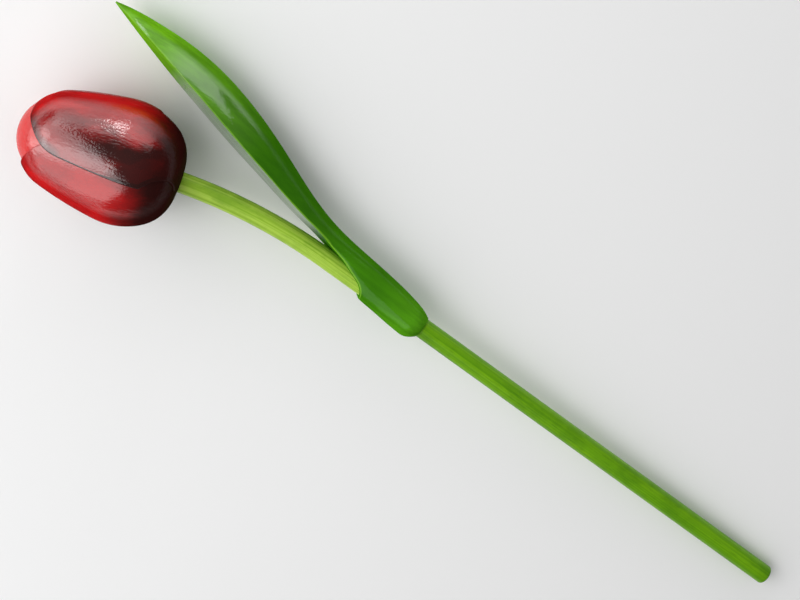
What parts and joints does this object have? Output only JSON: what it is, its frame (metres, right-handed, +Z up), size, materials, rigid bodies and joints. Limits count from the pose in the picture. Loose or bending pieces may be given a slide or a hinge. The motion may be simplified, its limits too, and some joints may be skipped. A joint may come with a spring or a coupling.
{
  "type": "wooden tulip ornament",
  "caption": "Carved and lacquered wooden tulip flower on a curved dowel stem, glued into the bored foot of a long carved leaf with a straight dowel stem below.",
  "frame": {"origin": "middle of the underside of the bounding box, on the table that the tulip lies on", "axes": "+X along the stem from the flower to the foot, seen from above; +Y to the leaf's side; +Z up from the table"},
  "size_m": [0.3468, 0.0736, 0.0482],
  "materials": {
    "flower_head": "red lacquer sprayed with black at the petals' edges, high gloss",
    "upper_stem": "light yellow-green stain with the grain showing, satin",
    "leaf": "green lacquer, gloss",
    "lower_stem": "green stain with the grain showing, satin"
  },
  "bodies": {
    "root": {"flower_head": "flower_head", "upper_stem": "upper_stem", "leaf": "leaf", "lower_stem": "lower_stem"}
  },
  "joints": []
}
